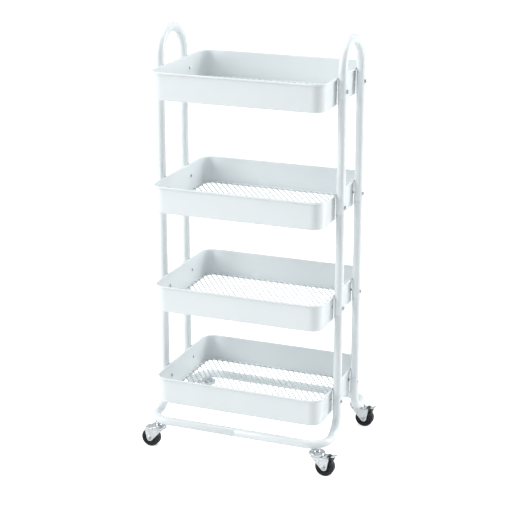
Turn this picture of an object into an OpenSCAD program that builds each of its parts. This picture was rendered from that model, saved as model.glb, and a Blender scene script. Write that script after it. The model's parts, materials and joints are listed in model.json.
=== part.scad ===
// A four-tier rolling utility cart: two tube handles whose legs run down as posts, four trays
// with flat floor panels, a bent tube base and four swivel casters, two of them with a brake.
// Origin: on the floor, under the centre of the cart. X is the long way, -Y the front, +Z up.
// All sizes are in millimetres.

/* [Trays] */
// Length of a tray over its rolled rim
tray_len = 420; // [340:5:520]
// Depth of a tray over its rolled rim
tray_dep = 315; // [260:5:400]
// Height of a tray from its underside to the top of its rim
tray_h = 65; // [50:1:80]
// Radius of a tray's upright corners, at the wall's outer face
corner_r = 28; // [20:1:40]
// Radius of the bend between wall and floor, at its outer face
floor_bend_r = 5; // [3:0.5:8]
// Thickness of the tray's sheet
sheet_t = 1; // [0.8:0.1:1.5]
// Diameter of the rolled rim
rim_d = 5; // [3:0.5:7]
// Width of the flat lip that carries the mesh floor
lip_w = 4; // [3:0.5:12]

/* [Mesh floor] */
// Thickness of the mesh
mesh_t = 1.2; // [0.8:0.1:2]
// Gap between the mesh and the tray's bend all round
mesh_gap = 0.3; // [0.1:0.1:1]

/* [Heights] */
// Height of the lowest tray's rim above the base tube's centre line
low_rise = 108; // [100:1:140]
// Step from the lowest rim to the next one up
step_low = 230; // [180:1:300]
// Step between the two middle rims
step_mid = 239; // [180:1:300]
// Step from the upper middle rim to the top one
step_top = 263; // [200:1:320]
// Height at which the handle starts to bend, above the top rim
handle_rise = 11; // [0:1:80]

/* [Tubes] */
// Outer diameter of every tube
tube_d = 20; // [16:1:25]
// Wall thickness of every tube
tube_t = 1.2; // [0.8:0.1:2]
// Distance of a post's axis from the cart's long centre line
post_y = 65; // [50:1:90]
// Radius of the base's bends, at the tube's centre line
bend_r = 45; // [35:1:60]
// Straight tube between the two bends of a base corner
base_run = 3; // [1:1:40]
// Radial gap between a reduced tube end and the tube that takes it
spigot_gap = 0.1; // [0.05:0.05:0.3]
// Length of a reduced tube end
spigot_len = 30; // [27:1:40]
// Drop of the two upper post seams below the tray bolts beside them
seam_drop = 17; // [12:1:20]
// Rise of the lowest post seam above the tray bolts beside it
seam_rise = 12; // [9:1:15]

/* [Fasteners] */
// Diameter of the tray screws
screw_d = 5; // [4:0.5:6]
// Diametral clearance of every screw hole
hole_gap = 0.4; // [0.2:0.1:0.8]
// Diameter of a tray screw's head
head_d = 8.4; // [8:0.2:11]
// Height of a tray screw's head
head_h = 3.2; // [1.8:0.2:4]
// Width across the flats of a cap nut
nut_af = 8; // [8:0.5:11]
// Height of a cap nut's hexagon
nut_h = 2.6; // [2.4:0.2:5]
// Depth of the tray bolts below the rim's top
bolt_drop = 30; // [24:1:40]
// Diameter of the screws that lock the base seams
lock_d = 3.6; // [3:0.2:4.2]
// Distance of a locking screw from the base seam
lock_x = 10; // [6:1:15]

/* [Casters] */
// Diameter of a wheel
wheel_d = 45; // [40:1:60]
// Width of a wheel's tread
wheel_w = 18; // [14:1:20]
// Distance of the wheel's axle behind the swivel axis
trail = 20; // [16:1:23]
// Place of a caster along the base's corner bend, in degrees from the side
caster_turn = 54; // [40:1:80]
// Thickness of the fork's sheet
fork_t = 1.8; // [1.5:0.1:2.5]
// Gap between the wheel and the fork's crown
crown_gap = 2.5; // [2.5:0.5:6]
// Radius of the fork's crown and its ball race
crown_r = 17; // [16:0.5:20]
// Diameter of the bearing balls
ball_d = 3.8; // [3:0.2:4.2]
// Number of bearing balls in a caster
ball_count = 10; // [6:1:12]
// Diameter of the axle
axle_d = 6; // [5:0.5:8]
// Radial running clearance of every shaft in its hole
run_gap = 0.05; // [0.02:0.01:0.1]
// Diameter of the caster's threaded stem
stem_d = 8; // [6:1:10]
// Rise of the released brake lever, in degrees
lever_tilt = 21; // [12:1:26]
// Travel of the brake lever from released to pressed, in degrees
lever_press = 12; // [6:1:15]
// Reach of the brake's tab past the wheel
tab_past = 5; // [0:1:8]
// Gap left between the pressed shoe and the tyre
shoe_gap = 0.3; // [0.2:0.1:0.8]

/* [Hidden] */
$fn = 64;

paint = [0.92, 0.94, 0.95];
zinc = [0.72, 0.73, 0.75];
black = [0.16, 0.17, 0.19];

left = -1;
right = 1;
front = -1;
rear = 1;
sides = [left, right];
ends = [front, rear];

tube_r = tube_d / 2;
spigot_r = tube_r - tube_t - spigot_gap;
screw_r = screw_d / 2;
hole_r = screw_r + hole_gap / 2;
lock_r = lock_d / 2;
lock_hole_r = lock_r + hole_gap / 2;
cut = 1;

// Caster heights, from the floor up to the base tube
wheel_r = wheel_d / 2;
race_gap = ball_d + 0.4;
cap_t = 2;
boss_h = 7.5;
flange_t = 0.8;
crown_z = wheel_d + crown_gap;
race_z = crown_z + fork_t;
cap_z = race_z + race_gap;
boss_z = cap_z + cap_t;
flange_z = boss_z + boss_h;
base_z = flange_z + flange_t + tube_r;

// Places of the frame
post_x = tray_len / 2 + tube_r;
base_y = post_y + 2 * bend_r + base_run;
rim_z = [
  base_z + low_rise + step_low + step_mid + step_top,
  base_z + low_rise + step_low + step_mid,
  base_z + low_rise + step_low,
  base_z + low_rise
];
bolt_z = [for (z = rim_z) z - bolt_drop];
seam_high = bolt_z[1] - seam_drop;
seam_mid = bolt_z[2] - seam_drop;
seam_low = bolt_z[3] + seam_rise;
handle_z = rim_z[0] + handle_rise;
caster_x = post_x - bend_r + bend_r * cos(caster_turn);
caster_y = base_y - bend_r + bend_r * sin(caster_turn);

// Tray wall: the rim rolls outward, flush with the wall's inner face
roll = rim_d - sheet_t;
wall_x = tray_len / 2 - roll;
wall_y = tray_dep / 2 - roll;

// ---- Shared shapes ----

// Straight round bar or bore along +Z
module rod(r, z0, z1) {
  translate([0, 0, z0]) cylinder(r = r, h = z1 - z0);
}

// Bent round bar: a quarter or half turn in the XY plane about the origin
module bent_rod(r, bend, turn) {
  rotate_extrude(angle = turn) translate([bend, 0]) circle(r = r);
}

// The children are drilled along X through both walls of a post, at one height
module cross_hole(z, r) {
  translate([0, 0, z]) rotate([0, 90, 0]) cylinder(r = r, h = 2 * tube_d, center = true);
}

// Rounded rectangle with true arcs at its corners
module rounded_rect(x, y, r) {
  square([2 * x, 2 * (y - r)], center = true);
  square([2 * (x - r), 2 * y], center = true);
  for (i = [-1, 1], j = [-1, 1]) translate([i * (x - r), j * (y - r)]) circle(r = r);
}

// Sweeps a 2D profile round a rounded rectangle. The profile's x = 0 runs along the outline,
// with x outward and y up.
module swept_round(x, y, r) {
  for (i = [0, 1]) mirror([i, 0, 0]) {
    translate([x, y - r, 0]) rotate([90, 0, 0]) linear_extrude(2 * (y - r)) children();
    for (j = [0, 1]) mirror([0, j, 0]) {
      translate([x - r, y - r, 0]) rotate_extrude(angle = 90) translate([r, 0]) children();
    }
  }
  for (j = [0, 1]) mirror([0, j, 0]) {
    translate([-(x - r), y, 0]) rotate([90, 0, 90]) linear_extrude(2 * (x - r)) children();
  }
}

// ---- Frame tubes ----

// The handle's path as a solid of one radius: a half circle on two legs
module handle_bar(r, foot) {
  translate([0, 0, handle_z]) rotate([90, 0, 90]) bent_rod(r, post_y, 180);
  for (e = ends) translate([0, e * post_y, 0]) rod(r, foot, handle_z);
}

module handle(side) {
  color(paint) translate([side * post_x, 0, 0]) difference() {
    handle_bar(tube_r, seam_high);
    handle_bar(tube_r - tube_t, seam_high - cut);
    for (e = ends, z = [bolt_z[0], bolt_z[1]]) translate([0, e * post_y, 0]) cross_hole(z, hole_r);
  }
}

// A straight post tube with a reduced end that goes up into the tube above it
module post_tube(z0, z1) {
  difference() {
    union() {
      rod(tube_r, z0, z1);
      rod(spigot_r, z1 - spigot_len, z1 + spigot_len);
    }
    rod(spigot_r - tube_t, z0 - cut, z1 + spigot_len + cut);
    rod(tube_r - tube_t, z0 - cut, z1 - spigot_len);
  }
}

module post_mid(side, end) {
  color(paint) translate([side * post_x, end * post_y, 0]) difference() {
    post_tube(seam_mid, seam_high);
    for (z = [bolt_z[1], bolt_z[2]]) cross_hole(z, hole_r);
  }
}

// The lowest straight tube has a reduced end at the bottom too, which the base tube takes
module post_low(side, end) {
  color(paint) translate([side * post_x, end * post_y, 0]) difference() {
    union() {
      post_tube(seam_low + spigot_len, seam_mid);
      difference() {
        union() {
          rod(tube_r, seam_low, seam_low + spigot_len);
          rod(spigot_r, seam_low - spigot_len, seam_low + spigot_len);
        }
        rod(spigot_r - tube_t, seam_low - spigot_len - cut, seam_low + spigot_len + cut);
      }
    }
    for (z = [bolt_z[2], bolt_z[3]]) cross_hole(z, hole_r);
  }
}

// One base corner as a solid of one radius: down from the post, outward, then along X
module base_bar(r, top, reach) {
  translate([post_x, post_y, 0]) rod(r, base_z + bend_r, top);
  translate([post_x, post_y + bend_r, base_z + bend_r]) rotate([0, 90, 0]) rotate([0, 0, 180])
    mirror([1, 0, 0]) bent_rod(r, bend_r, 90);
  translate([post_x, post_y + bend_r, base_z]) rotate([-90, 0, 0]) rod(r, 0, base_run);
  translate([post_x - bend_r, base_y - bend_r, base_z]) bent_rod(r, bend_r, 90);
  translate([reach, base_y, base_z]) rotate([0, 90, 0]) rod(r, 0, post_x - bend_r - reach);
}

// The right-hand corners carry the reduced end that goes into the left-hand ones
module base_tube(side, end) {
  color(paint) mirror([side < 0 ? 1 : 0, 0, 0]) mirror([0, end < 0 ? 1 : 0, 0]) difference() {
    union() {
      base_bar(tube_r, seam_low, 0);
      if (side > 0) translate([-spigot_len, base_y, base_z]) rotate([0, 90, 0])
        rod(spigot_r, 0, 2 * spigot_len);
    }
    base_bar(tube_r - tube_t, seam_low + cut, side > 0 ? spigot_len : -cut);
    if (side > 0) translate([-spigot_len - cut, base_y, base_z]) rotate([0, 90, 0])
      rod(spigot_r - tube_t, 0, 2 * (spigot_len + cut));
    translate([post_x, post_y, 0]) cross_hole(bolt_z[3], hole_r);
    translate([caster_x, caster_y, 0]) rod(insert_r + hole_gap / 2, flange_z, base_z);
    translate([-side * lock_x, base_y, 0]) rod(lock_hole_r, base_z - tube_d, base_z);
  }
}

// ---- Trays ----

// Section of the tray's wall, from the mesh's lip up to the rolled rim
module tray_profile() {
  translate([-sheet_t, floor_bend_r]) square([sheet_t, tray_h - floor_bend_r - rim_d / 2]);
  translate([rim_d / 2 - sheet_t, tray_h - rim_d / 2]) circle(d = rim_d);
  translate([-floor_bend_r, floor_bend_r]) intersection() {
    difference() {
      circle(r = floor_bend_r);
      circle(r = floor_bend_r - sheet_t);
    }
    translate([0, -floor_bend_r]) square(floor_bend_r);
  }
  translate([-floor_bend_r - lip_w, 0]) square([lip_w, sheet_t]);
}

module tray(tier) {
  color(paint) translate([0, 0, rim_z[tier - 1] - tray_h]) difference() {
    swept_round(wall_x, wall_y, corner_r) tray_profile();
    for (s = sides, e = ends) translate([s * wall_x, e * post_y, 0])
      cross_hole(tray_h - bolt_drop, hole_r);
  }
}

// ---- Mesh floors ----

// A floor panel as one plain sheet, as large as the tray's bends leave room for
module mesh_floor(tier) {
  panel_in = floor_bend_r + mesh_gap;
  color(paint) translate([0, 0, rim_z[tier - 1] - tray_h + sheet_t]) linear_extrude(mesh_t)
    rounded_rect(wall_x - panel_in, wall_y - panel_in, corner_r - panel_in);
}

// ---- Fasteners ----

// Cross recess in the end of a screw head, cut down from z = 0
module cross_recess(size, depth) {
  for (a = [0, 90]) rotate([0, 0, a]) translate([-size / 2, -size / 8, -depth])
    cube([size, size / 4, depth + cut]);
}

// Pan head with a domed top, sitting on z = 0
module pan_head(r, h) {
  difference() {
    rotate_extrude() intersection() {
      translate([0, h - (r * r + h * h) / (2 * h)]) circle(r = (r * r + h * h) / (2 * h));
      square([r, h]);
    }
    translate([0, 0, h]) cross_recess(r * 1.1, h * 0.6);
  }
}

// Part of a screw that stands in the nut past its hexagon, and the solid left round its end
thread_past = 0.7;
cap_shoulder = 0.4;
hole_end = 0.1;
screw_len = tube_d + rim_d + nut_h + thread_past;

// One screw for each post at each tray, put in from inside the tray
module tray_screws() {
  color(zinc) for (s = sides, e = ends, z = bolt_z)
    translate([s * (wall_x - sheet_t), e * post_y, z]) rotate([0, -s * 90, 0]) {
      pan_head(head_d / 2, head_h);
      rod(screw_r, -screw_len, 0.2);
    }
}

cap_r = nut_af / 2 * 0.95;
cap_rise = 1.6;
dome_r = (cap_r * cap_r + cap_rise * cap_rise) / (2 * cap_rise);

// A domed nut closes each screw on the outer side of its post
module cap_nuts() {
  color(zinc) for (s = sides, e = ends, z = bolt_z)
    translate([s * (post_x + tube_r), e * post_y, z]) rotate([0, s * 90, 0])
      difference() {
        union() {
          cylinder(r = nut_af / sqrt(3), h = nut_h, $fn = 6);
          rod(cap_r, 0, nut_h + cap_shoulder);
          translate([0, 0, nut_h + cap_shoulder]) intersection() {
            translate([0, 0, cap_rise - dome_r]) sphere(r = dome_r);
            rod(cap_r, 0, cap_rise);
          }
        }
        rod(screw_r, -cut, nut_h + thread_past + hole_end);
      }
}

module base_lock_screws() {
  color(zinc) for (e = ends)
    translate([-lock_x, e * base_y, base_z - tube_r]) rotate([180, 0, 0]) {
      pan_head(lock_r * 1.9, lock_r);
      rod(lock_r, -3 * tube_t, 0.2);
    }
}

// ---- Casters ----

stem_r = stem_d / 2;
insert_r = stem_r + 2.2;
collar_r = insert_r + 1.4;
crown_back = crown_r * 0.7;
king_r = stem_r + 0.9;
ball_ring_r = (king_r + crown_r) / 2 + 1;
hub_half = wheel_w / 2 + 1;
fork_in = hub_half + 0.6;
fork_out = fork_in + fork_t;
axle_r = axle_d / 2;
pin_r = 1.5;
brake_x = trail + wheel_r * 0.36;
brake_z = wheel_d + 2.5;
cheek_end = brake_x + 4;
cheek_r = axle_r + 4.5;

// Puts a caster's parts at one corner. Each caster trails outward along X.
module at_caster(side, end) {
  translate([side * caster_x, end * caster_y, 0]) mirror([side < 0 ? 1 : 0, 0, 0]) children();
}

// Threaded sleeves pressed into the base tubes, which hold the casters' stems
module caster_inserts() {
  color(zinc) for (s = sides, e = ends) translate([s * caster_x, e * caster_y, 0]) difference() {
    union() {
      rod(insert_r, flange_z, base_z);
      rod(collar_r, flange_z, flange_z + flange_t);
    }
    rod(stem_r, flange_z - cut, base_z + cut);
  }
}

// Threaded stem in one piece with the king pin, whose head holds the fork up
module caster_stem(side, end) {
  color(zinc) at_caster(side, end) {
    rod(stem_r, flange_z, base_z + 2);
    rod(king_r, crown_z - 0.4, flange_z);
    rod(king_r + 2.4, crown_z - 2.2, crown_z - 0.4);
  }
}

// Domed upper race plate with a skirt round the balls, pressed onto the king pin
module caster_cap(side, end) {
  skirt_r = crown_r + 2;
  dome_h = 2.4;
  color(zinc) at_caster(side, end) rotate_extrude() polygon([
    [king_r, cap_z], [skirt_r - 1.4, cap_z], [skirt_r - 1.4, race_z + 0.8],
    [skirt_r, race_z + 0.8], [skirt_r, boss_z - 1], [skirt_r - 1.5, boss_z + 0.6],
    [collar_r + 3, boss_z + dome_h], [collar_r, boss_z + dome_h], [collar_r, flange_z], [king_r, flange_z]
  ]);
}

module caster_balls(side, end) {
  color(zinc) at_caster(side, end)
    for (k = [0:ball_count - 1]) rotate([0, 0, k * 360 / ball_count])
      translate([ball_ring_r, 0, race_z + race_gap / 2]) sphere(d = ball_d);
}

// Point where a line from p touches a circle about c; side picks which of the two
function tangent(p, c, r, side) =
  let (
    d = norm(p - c),
    toward = atan2(p[1] - c[1], p[0] - c[0]),
    swing = acos(r / d)
  )
  c + r * [cos(toward + side * swing), sin(toward + side * swing)];

// Outline of a fork cheek, drawn in XZ: wide at the crown, round about the axle
module cheek_outline() {
  axle = [trail, wheel_r];
  top = race_z;
  back = [-crown_back, crown_z - 1];
  toe = [cheek_end, brake_z - 3];
  polygon([
    [back[0], top], back, tangent(back, axle, cheek_r, 1), axle,
    tangent(toe, axle, cheek_r, -1), toe, [cheek_end, top]
  ]);
  translate(axle) circle(r = cheek_r);
}

module caster_fork(side, end) {
  color(zinc) at_caster(side, end) difference() {
    union() {
      rod(crown_r, crown_z, race_z);
      for (m = [0, 1]) mirror([0, m, 0]) translate([0, fork_out, 0]) rotate([90, 0, 0])
        linear_extrude(fork_t) cheek_outline();
      translate([-crown_back, -fork_out, crown_z]) cube([crown_back + trail + 4, 2 * fork_out, fork_t]);
    }
    rod(king_r + run_gap, crown_z - cut, race_z + cut);
    translate([trail, 0, wheel_r]) rotate([90, 0, 0]) cylinder(r = axle_r, h = 3 * fork_out, center = true);
    translate([brake_x, 0, brake_z]) rotate([90, 0, 0]) cylinder(r = pin_r, h = 3 * fork_out, center = true);
  }
}

// A shaft along Y with a domed head at each end, outside the fork's cheeks
module riveted_shaft(r, head_r, head_t) {
  rotate([90, 0, 0]) {
    cylinder(r = r, h = 2 * fork_out, center = true);
    for (m = [0, 1]) mirror([0, 0, m]) translate([0, 0, fork_out]) rotate_extrude()
      intersection() {
        translate([0, head_t - (head_r * head_r + head_t * head_t) / (2 * head_t)])
          circle(r = (head_r * head_r + head_t * head_t) / (2 * head_t));
        square([head_r, head_t]);
      }
  }
}

module caster_axle(side, end) {
  color(zinc) at_caster(side, end) translate([trail, 0, wheel_r]) riveted_shaft(axle_r, axle_r + 2, 2);
}

hub_r = wheel_r * 0.68;

module caster_hub(side, end) {
  boss_r = axle_r + 3;
  color(black) at_caster(side, end) translate([trail, 0, wheel_r]) rotate([90, 0, 0])
    rotate_extrude() polygon([
      [axle_r + run_gap, -hub_half], [boss_r, -hub_half], [boss_r, -wheel_w / 4],
      [hub_r - 3, -wheel_w / 4], [hub_r - 2, -wheel_w / 2 + 1], [hub_r, -wheel_w / 2 + 1],
      [hub_r, wheel_w / 2 - 1], [hub_r - 2, wheel_w / 2 - 1], [hub_r - 3, wheel_w / 4],
      [boss_r, wheel_w / 4], [boss_r, hub_half], [axle_r + run_gap, hub_half]
    ]);
}

// Tyre ring with rounded shoulders
module caster_tyre(side, end) {
  shoulder = 3;
  color(black) at_caster(side, end) translate([trail, 0, wheel_r]) rotate([90, 0, 0])
    rotate_extrude() {
      translate([hub_r, -wheel_w / 2]) square([wheel_r - shoulder - hub_r, wheel_w]);
      translate([hub_r, -wheel_w / 2 + shoulder]) square([wheel_r - hub_r, wheel_w - 2 * shoulder]);
      for (m = [-1, 1]) translate([wheel_r - shoulder, m * (wheel_w / 2 - shoulder)])
        circle(r = shoulder);
    }
}

shoe_half = fork_in - 0.8;

// Takes away what would touch the tyre, with the brake released and with it pressed
module clear_of_tyre() {
  difference() {
    children();
    translate([trail, 0, wheel_r]) rotate([90, 0, 0])
      cylinder(r = wheel_r + 1, h = 4 * shoe_half, center = true);
    translate([brake_x, 0, brake_z]) rotate([0, -lever_press, 0])
      translate([trail - brake_x, 0, wheel_r - brake_z]) rotate([90, 0, 0])
      cylinder(r = wheel_r + shoe_gap, h = 4 * shoe_half, center = true);
  }
}

// Moulded shoe that turns on the pin: an eye, and a block over the tyre's trailing side
module brake_shoe(side, end) {
  eye_r = pin_r + 1.3;
  block_end = trail + wheel_r * 0.9;
  color(black) at_caster(side, end) difference() {
    clear_of_tyre() {
      translate([brake_x, 0, brake_z]) rotate([90, 0, 0])
        cylinder(r = eye_r, h = 2 * shoe_half, center = true);
      translate([0, shoe_half, 0]) rotate([90, 0, 0]) linear_extrude(2 * shoe_half) polygon([
        [brake_x, brake_z + eye_r - 1], [brake_x, brake_z - eye_r], [block_end - 2, wheel_r],
        [block_end, wheel_r + 6], [block_end, brake_z - 1], [block_end - 4, brake_z + 1]
      ]);
    }
    translate([brake_x, 0, brake_z]) rotate([90, 0, 0])
      cylinder(r = pin_r + run_gap, h = 4 * shoe_half, center = true);
    lever_plate(tab_w + 0.1, 0.05);
  }
}

tab_w = 14;
tab_t = 1.6;

// The steel tab's space: a plate that rises from the shoe, wider or thicker by a margin
module lever_plate(width, margin) {
  reach = (trail + wheel_r - brake_x + tab_past) / cos(lever_tilt);
  translate([brake_x, 0, brake_z]) rotate([0, -lever_tilt, 0])
    translate([5, -width / 2, -2.6 - margin]) cube([reach - 5, width, tab_t + 2 * margin]);
}

// Steel tab that the toe presses, moulded into the shoe
module brake_lever(side, end) {
  color(zinc) at_caster(side, end) lever_plate(tab_w, 0);
}

module brake_pin(side, end) {
  color(zinc) at_caster(side, end) translate([brake_x, 0, brake_z]) riveted_shaft(pin_r, pin_r + 0.9, 0.8);
}

handle(left);  // handle_left
handle(right);  // handle_right
post_mid(left, front);  // post_mid_fl
post_mid(right, front);  // post_mid_fr
post_mid(left, rear);  // post_mid_rl
post_mid(right, rear);  // post_mid_rr
post_low(left, front);  // post_low_fl
post_low(right, front);  // post_low_fr
post_low(left, rear);  // post_low_rl
post_low(right, rear);  // post_low_rr
base_tube(left, front);  // base_tube_fl
base_tube(right, front);  // base_tube_fr
base_tube(left, rear);  // base_tube_rl
base_tube(right, rear);  // base_tube_rr
tray(1);  // tray_1
tray(2);  // tray_2
tray(3);  // tray_3
tray(4);  // tray_4
mesh_floor(1);  // mesh_1
mesh_floor(2);  // mesh_2
mesh_floor(3);  // mesh_3
mesh_floor(4);  // mesh_4
tray_screws();
cap_nuts();
base_lock_screws();
caster_inserts();
caster_stem(left, front);  // caster_fl_stem
caster_stem(right, front);  // caster_fr_stem
caster_stem(left, rear);  // caster_rl_stem
caster_stem(right, rear);  // caster_rr_stem
caster_cap(left, front);  // caster_fl_cap
caster_cap(right, front);  // caster_fr_cap
caster_cap(left, rear);  // caster_rl_cap
caster_cap(right, rear);  // caster_rr_cap
caster_balls(left, front);  // caster_fl_balls
caster_balls(right, front);  // caster_fr_balls
caster_balls(left, rear);  // caster_rl_balls
caster_balls(right, rear);  // caster_rr_balls
caster_fork(left, front);  // caster_fl_fork
caster_fork(right, front);  // caster_fr_fork
caster_fork(left, rear);  // caster_rl_fork
caster_fork(right, rear);  // caster_rr_fork
caster_axle(left, front);  // caster_fl_axle
caster_axle(right, front);  // caster_fr_axle
caster_axle(left, rear);  // caster_rl_axle
caster_axle(right, rear);  // caster_rr_axle
caster_hub(left, front);  // caster_fl_hub
caster_hub(right, front);  // caster_fr_hub
caster_hub(left, rear);  // caster_rl_hub
caster_hub(right, rear);  // caster_rr_hub
caster_tyre(left, front);  // caster_fl_tyre
caster_tyre(right, front);  // caster_fr_tyre
caster_tyre(left, rear);  // caster_rl_tyre
caster_tyre(right, rear);  // caster_rr_tyre
brake_lever(right, front);  // brake_fr_lever
brake_lever(right, rear);  // brake_rr_lever
brake_shoe(right, front);  // brake_fr_shoe
brake_shoe(right, rear);  // brake_rr_shoe
brake_pin(right, front);  // brake_fr_pin
brake_pin(right, rear);  // brake_rr_pin
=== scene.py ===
# Rolling utility cart: the looks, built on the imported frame. Everything is in metres.
import json
import math

import bmesh
import bpy
from mathutils import Matrix, Vector


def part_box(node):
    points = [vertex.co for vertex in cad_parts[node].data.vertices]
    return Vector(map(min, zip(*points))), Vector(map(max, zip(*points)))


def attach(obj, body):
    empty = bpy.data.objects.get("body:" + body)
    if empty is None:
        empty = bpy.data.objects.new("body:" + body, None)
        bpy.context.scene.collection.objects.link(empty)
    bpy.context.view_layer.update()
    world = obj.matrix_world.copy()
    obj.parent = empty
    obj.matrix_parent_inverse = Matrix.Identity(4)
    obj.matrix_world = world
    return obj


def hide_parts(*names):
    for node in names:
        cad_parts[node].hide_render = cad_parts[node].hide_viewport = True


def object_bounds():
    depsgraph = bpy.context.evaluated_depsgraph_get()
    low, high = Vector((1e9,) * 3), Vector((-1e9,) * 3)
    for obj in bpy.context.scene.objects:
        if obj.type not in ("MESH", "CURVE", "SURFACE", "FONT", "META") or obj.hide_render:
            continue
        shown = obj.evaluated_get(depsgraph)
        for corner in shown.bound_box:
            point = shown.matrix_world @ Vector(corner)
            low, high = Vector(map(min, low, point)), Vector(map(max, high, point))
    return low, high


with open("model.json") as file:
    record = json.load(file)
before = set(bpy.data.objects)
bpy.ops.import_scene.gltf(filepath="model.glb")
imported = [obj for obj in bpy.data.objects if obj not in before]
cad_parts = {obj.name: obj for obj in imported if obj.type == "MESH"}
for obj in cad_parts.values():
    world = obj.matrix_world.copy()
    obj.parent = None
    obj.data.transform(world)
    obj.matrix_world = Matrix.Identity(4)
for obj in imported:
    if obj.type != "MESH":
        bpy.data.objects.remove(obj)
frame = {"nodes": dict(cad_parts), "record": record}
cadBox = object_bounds()
scene = bpy.context.scene
print("frame loaded")

# Places read from the frame
trayLow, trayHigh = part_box("tray_1")
handleLow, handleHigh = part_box("handle_right")
baseLow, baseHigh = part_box("base_tube_fr")
midLow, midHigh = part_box("post_mid_fr")
postX = (midLow[0] + midHigh[0]) / 2
postY = abs(midLow[1] + midHigh[1]) / 2
tubeR = (midHigh[0] - midLow[0]) / 2
bendR = 0.045  # base bends, at the tube's centre line
seamHigh = handleLow[2]
seamMid = midLow[2]
seamLow = baseHigh[2]
baseZ = baseLow[2] + tubeR
baseY = max(abs(baseLow[1]), abs(baseHigh[1])) - tubeR
corners = {"fl": (-1, -1), "fr": (1, -1), "rl": (-1, 1), "rr": (1, 1)}


# ---- Making meshes ----

def pieceFromMesh(name, mesh, material, body, node=None):
    for polygon in mesh.polygons:
        polygon.use_smooth = True
    mesh.materials.clear()
    mesh.materials.append(material)
    piece = bpy.data.objects.new(name, mesh)
    scene.collection.objects.link(piece)
    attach(piece, body)
    if node:
        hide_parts(*([node] if isinstance(node, str) else node))
    return piece


def meshFromBmesh(name, bm):
    mesh = bpy.data.meshes.new(name)
    bm.to_mesh(mesh)
    bm.free()
    return mesh


def meshFromData(name, points, faces):
    mesh = bpy.data.meshes.new(name)
    mesh.from_pydata([tuple(p) for p in points], [], faces)
    mesh.validate()
    return mesh


def joinMeshes(name, meshes):
    bm = bmesh.new()
    for mesh in meshes:
        bm.from_mesh(mesh)
    return meshFromBmesh(name, bm)


def movedMesh(mesh, matrix, name=None):
    copy = mesh.copy()
    if name:
        copy.name = name
    copy.transform(matrix)
    if matrix.determinant() < 0:
        copy.flip_normals()
    return copy


def solved(mesh, modifiers, name=None):
    # Runs modifiers on a mesh and gives the plain result. Each is (type, {setting: value}).
    helper = bpy.data.objects.new("helper", mesh)
    scene.collection.objects.link(helper)
    for kind, settings in modifiers:
        modifier = helper.modifiers.new(kind, kind)
        for key, value in settings.items():
            setattr(modifier, key, value)
    graph = bpy.context.evaluated_depsgraph_get()
    result = bpy.data.meshes.new_from_object(helper.evaluated_get(graph))
    result.name = name or mesh.name
    bpy.data.objects.remove(helper)
    return result


def latheMesh(name, profile, steps=64):
    # Turns (radius, height) points about Z. The profile is a closed loop, or starts and ends on the axis.
    closed = profile[0][0] > 1e-7 or profile[-1][0] > 1e-7
    points = []
    faces = []
    rings = []
    for radius, height in profile:
        if radius < 1e-7:
            rings.append([len(points)])
            points.append((0, 0, height))
            continue
        rings.append(list(range(len(points), len(points) + steps)))
        for k in range(steps):
            a = 2 * math.pi * k / steps
            points.append((radius * math.cos(a), radius * math.sin(a), height))
    pairs = list(zip(rings, rings[1:])) + ([(rings[-1], rings[0])] if closed else [])
    for low, high in pairs:
        for k in range(steps):
            n = (k + 1) % steps
            if len(low) == 1 and len(high) > 1:
                faces.append((low[0], high[n], high[k]))
            elif len(high) == 1 and len(low) > 1:
                faces.append((low[k], low[n], high[0]))
            elif len(low) > 1:
                faces.append((low[k], low[n], high[n], high[k]))
    mesh = meshFromData(name, points, faces)
    bm = bmesh.new()
    bm.from_mesh(mesh)
    bmesh.ops.recalc_face_normals(bm, faces=bm.faces)
    return meshFromBmesh(name, bm)


def arc(cx, cy, radius, start, end, steps):
    # Points on an arc, angles in degrees
    return [
        (cx + radius * math.cos(math.radians(a)), cy + radius * math.sin(math.radians(a)))
        for a in (start + (end - start) * k / steps for k in range(steps + 1))
    ]


def roundedLoop(points, radius, steps=4):
    # Rounds the corners of a closed 2D outline
    out = []
    count = len(points)
    for k in range(count):
        corner = Vector(points[k])
        before = (Vector(points[k - 1]) - corner)
        after = (Vector(points[(k + 1) % count]) - corner)
        reach = min(radius, before.length * 0.45, after.length * 0.45)
        a = corner + before.normalized() * reach
        b = corner + after.normalized() * reach
        for s in range(steps + 1):
            t = s / steps
            out.append(tuple(a * (1 - t) ** 2 + corner * 2 * t * (1 - t) + b * t * t))
    return out


def slabMesh(name, outline, thickness, edge=0.0004):
    # A flat plate in XZ, centred on y = 0, with rounded edges
    bm = bmesh.new()
    front = [bm.verts.new((x, -thickness / 2, z)) for x, z in outline]
    face = bm.faces.new(front)
    grown = bmesh.ops.extrude_face_region(bm, geom=[face])
    moved = [v for v in grown["geom"] if isinstance(v, bmesh.types.BMVert)]
    bmesh.ops.translate(bm, verts=moved, vec=(0, thickness, 0))
    bmesh.ops.recalc_face_normals(bm, faces=bm.faces)
    mesh = meshFromBmesh(name, bm)
    bevel = {"width": edge, "segments": 2, "limit_method": "ANGLE", "angle_limit": math.radians(50)}
    return solved(mesh, [("BEVEL", bevel)])


# ---- Shader groups and materials ----

def newGroup(name, inputs, outputs):
    group = bpy.data.node_groups.new(name, "ShaderNodeTree")
    for label, value in inputs.items():
        socket = group.interface.new_socket(label, in_out="INPUT", socket_type="NodeSocketFloat")
        socket.default_value = value
    for label, kind in outputs.items():
        group.interface.new_socket(label, in_out="OUTPUT", socket_type=kind)
    enter = group.nodes.new("NodeGroupInput")
    leave = group.nodes.new("NodeGroupOutput")
    coords = group.nodes.new("ShaderNodeTexCoord")
    return group, enter, leave, coords


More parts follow.
